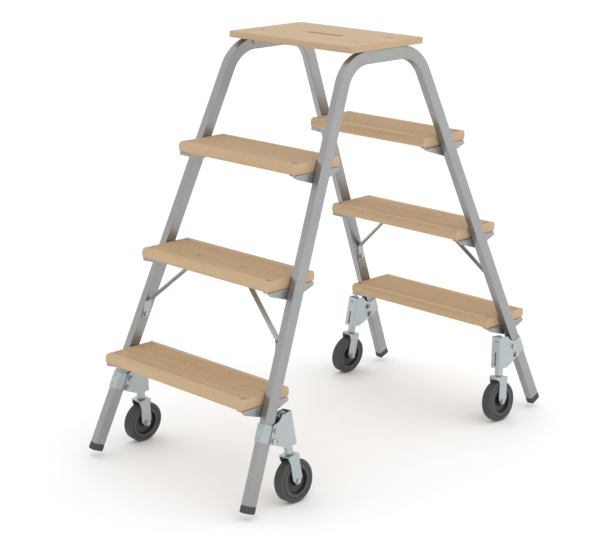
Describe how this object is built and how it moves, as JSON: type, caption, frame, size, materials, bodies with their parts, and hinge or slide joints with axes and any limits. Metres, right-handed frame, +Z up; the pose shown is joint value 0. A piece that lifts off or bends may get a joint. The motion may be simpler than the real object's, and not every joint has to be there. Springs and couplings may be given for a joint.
{
  "type": "rolling platform ladder",
  "caption": "Double-sided platform step ladder with splayed tube side frames, wooden treads and spring-loaded castors that lift its rubber feet off the floor.",
  "frame": {"origin": "on the floor under the middle of the platform, with the ladder standing on its four wheels", "axes": "+Z up, +X along the treads, +Y from the front flight to the rear flight"},
  "size_m": [0.5582, 1.038, 0.9788],
  "materials": {
    "aluminium": "plain drawn tube, satin",
    "platform_wood": "clear lacquered beech",
    "tread_wood": "clear lacquered beech, grooved on top",
    "rubber": "matt",
    "tyre": "matt moulded rubber",
    "wheel_plastic": "moulded, satin",
    "zinc_steel": "bright zinc plated",
    "spring_steel": "drawn wire",
    "bolt_steel": "zinc plated"
  },
  "bodies": {
    "ladder": {"side_frame_left": "aluminium", "side_frame_right": "aluminium", "platform_board": "platform_wood", "tread_front_1": "tread_wood", "tread_front_2": "tread_wood", "tread_front_3": "tread_wood", "strut_front_right": "zinc_steel", "rubber_shoe_front_right": "rubber", "spring_housing_front_right": "zinc_steel", "clamp_band_front_right": "zinc_steel", "coil_spring_front_right": "spring_steel", "clamp_bolt_upper_front_right": "bolt_steel", "clamp_bolt_lower_front_right": "bolt_steel", "strut_front_left": "zinc_steel", "rubber_shoe_front_left": "rubber", "spring_housing_front_left": "zinc_steel", "clamp_band_front_left": "zinc_steel", "coil_spring_front_left": "spring_steel", "clamp_bolt_upper_front_left": "bolt_steel", "clamp_bolt_lower_front_left": "bolt_steel", "tread_rear_1": "tread_wood", "tread_rear_2": "tread_wood", "tread_rear_3": "tread_wood", "strut_rear_right": "zinc_steel", "rubber_shoe_rear_right": "rubber", "spring_housing_rear_right": "zinc_steel", "clamp_band_rear_right": "zinc_steel", "coil_spring_rear_right": "spring_steel", "clamp_bolt_upper_rear_right": "bolt_steel", "clamp_bolt_lower_rear_right": "bolt_steel", "strut_rear_left": "zinc_steel", "rubber_shoe_rear_left": "rubber", "spring_housing_rear_left": "zinc_steel", "clamp_band_rear_left": "zinc_steel", "coil_spring_rear_left": "spring_steel", "clamp_bolt_upper_rear_left": "bolt_steel", "clamp_bolt_lower_rear_left": "bolt_steel"},
    "castor_front_right": {"castor_stem_front_right": "zinc_steel", "fork_front_right": "zinc_steel", "axle_front_right": "bolt_steel"},
    "wheel_front_right": {"tyre_front_right": "tyre", "wheel_centre_front_right": "wheel_plastic"},
    "castor_front_left": {"castor_stem_front_left": "zinc_steel", "fork_front_left": "zinc_steel", "axle_front_left": "bolt_steel"},
    "wheel_front_left": {"tyre_front_left": "tyre", "wheel_centre_front_left": "wheel_plastic"},
    "castor_rear_right": {"castor_stem_rear_right": "zinc_steel", "fork_rear_right": "zinc_steel", "axle_rear_right": "bolt_steel"},
    "wheel_rear_right": {"tyre_rear_right": "tyre", "wheel_centre_rear_right": "wheel_plastic"},
    "castor_rear_left": {"castor_stem_rear_left": "zinc_steel", "fork_rear_left": "zinc_steel", "axle_rear_left": "bolt_steel"},
    "wheel_rear_left": {"tyre_rear_left": "tyre", "wheel_centre_rear_left": "wheel_plastic"}
  },
  "joints": [
    {"name": "castor_slide_front_right", "type": "slide", "parent": "ladder", "child": "castor_front_right", "axis": [-0.0865, -0.1219, 0.9888], "range_m": [0, 0.012], "stiffness_N_per_m": 3000, "springref_m": -0.015, "deforming": ["coil_spring_front_right"]},
    {"name": "wheel_spin_front_right", "type": "hinge", "parent": "castor_front_right", "child": "wheel_front_right", "pos_m": [0.25952, -0.3613, 0.05014], "axis": [0.9962, 0, 0.0872], "continuous": true},
    {"name": "castor_slide_front_left", "type": "slide", "parent": "ladder", "child": "castor_front_left", "axis": [0.0865, -0.1219, 0.9888], "range_m": [0, 0.012], "stiffness_N_per_m": 3000, "springref_m": -0.015, "deforming": ["coil_spring_front_left"]},
    {"name": "wheel_spin_front_left", "type": "hinge", "parent": "castor_front_left", "child": "wheel_front_left", "pos_m": [-0.25952, -0.3613, 0.05014], "axis": [-0.9962, 0, 0.0872], "continuous": true},
    {"name": "castor_slide_rear_right", "type": "slide", "parent": "ladder", "child": "castor_rear_right", "axis": [-0.0865, 0.1219, 0.9888], "range_m": [0, 0.012], "stiffness_N_per_m": 3000, "springref_m": -0.015, "deforming": ["coil_spring_rear_right"]},
    {"name": "wheel_spin_rear_right", "type": "hinge", "parent": "castor_rear_right", "child": "wheel_rear_right", "pos_m": [0.25952, 0.3613, 0.05014], "axis": [0.9962, 0, 0.0872], "continuous": true},
    {"name": "castor_slide_rear_left", "type": "slide", "parent": "ladder", "child": "castor_rear_left", "axis": [0.0865, 0.1219, 0.9888], "range_m": [0, 0.012], "stiffness_N_per_m": 3000, "springref_m": -0.015, "deforming": ["coil_spring_rear_left"]},
    {"name": "wheel_spin_rear_left", "type": "hinge", "parent": "castor_rear_left", "child": "wheel_rear_left", "pos_m": [-0.25952, 0.3613, 0.05014], "axis": [-0.9962, 0, 0.0872], "continuous": true}
  ]
}
